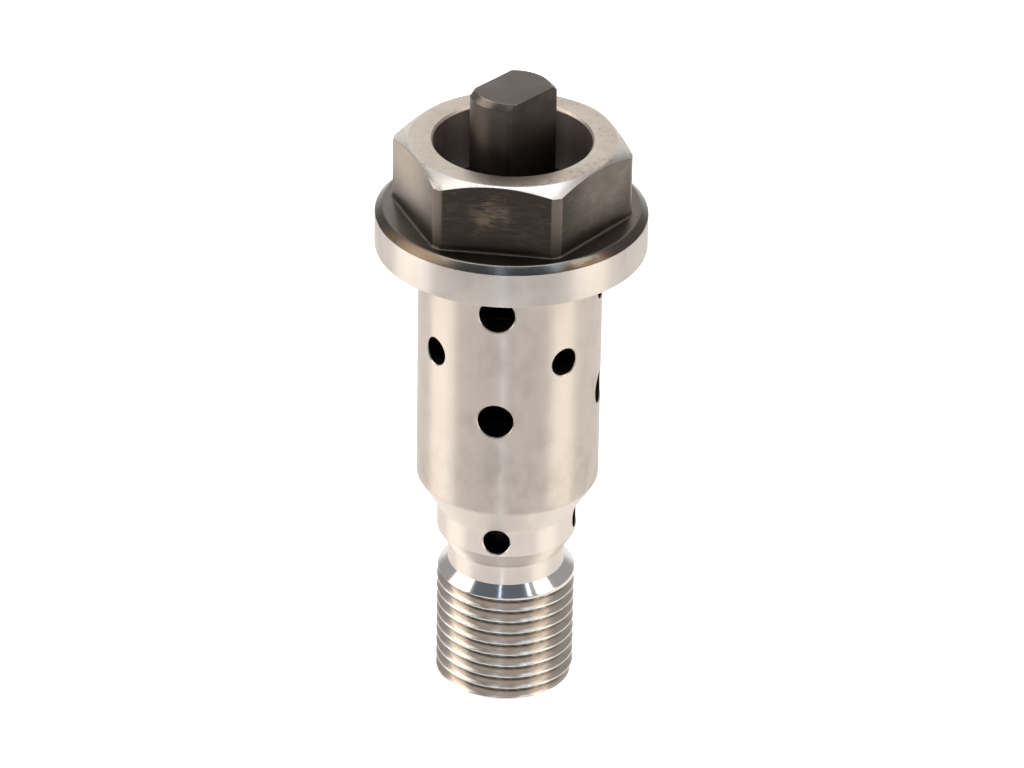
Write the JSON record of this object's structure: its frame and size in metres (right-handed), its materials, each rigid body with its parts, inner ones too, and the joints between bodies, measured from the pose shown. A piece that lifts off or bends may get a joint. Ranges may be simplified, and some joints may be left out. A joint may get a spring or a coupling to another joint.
{
  "type": "camshaft adjuster control valve",
  "caption": "Hollow left-hand-thread valve bolt with hexagon flange head, radial oil ports and a sprung control spool whose two-flat nose stands out of the head.",
  "frame": {"origin": "centre of the threaded end face, which is the bottom centre of the bounding box", "axes": "+Z along the valve axis from the threaded end to the head, -Y out of one flat of the hexagon and out of one port of the upper row"},
  "size_m": [0.031, 0.031, 0.0762],
  "materials": {
    "turned_steel": "satin turned",
    "black_steel": "dark, smooth",
    "ground_steel": "ground",
    "spring_steel": "drawn wire",
    "moulded_plastic": "moulded"
  },
  "bodies": {
    "valve": {"valve_bolt": "turned_steel", "control_sleeve": "ground_steel", "locating_pin": "ground_steel", "stop_washer": "ground_steel", "retaining_ring": "spring_steel", "spring_seat": "ground_steel", "return_spring": "spring_steel", "check_valve_cage": "ground_steel", "check_spring": "spring_steel", "check_valve_seat": "ground_steel", "filter_frame": "moulded_plastic", "filter_mesh": "ground_steel"},
    "piston": {"spool": "black_steel"},
    "ball": {"check_ball": "ground_steel"}
  },
  "joints": [
    {"name": "spool_slide", "type": "slide", "parent": "valve", "child": "piston", "axis": [0, 0, -1], "range_m": [0, 0.0032], "stiffness_N_per_m": 1500, "springref_m": -0.004, "deforming": ["return_spring"]},
    {"name": "check_ball_slide", "type": "slide", "parent": "valve", "child": "ball", "axis": [0, 0, 1], "range_m": [0, 0.0009], "stiffness_N_per_m": 200, "springref_m": -0.002, "deforming": ["check_spring"]}
  ]
}
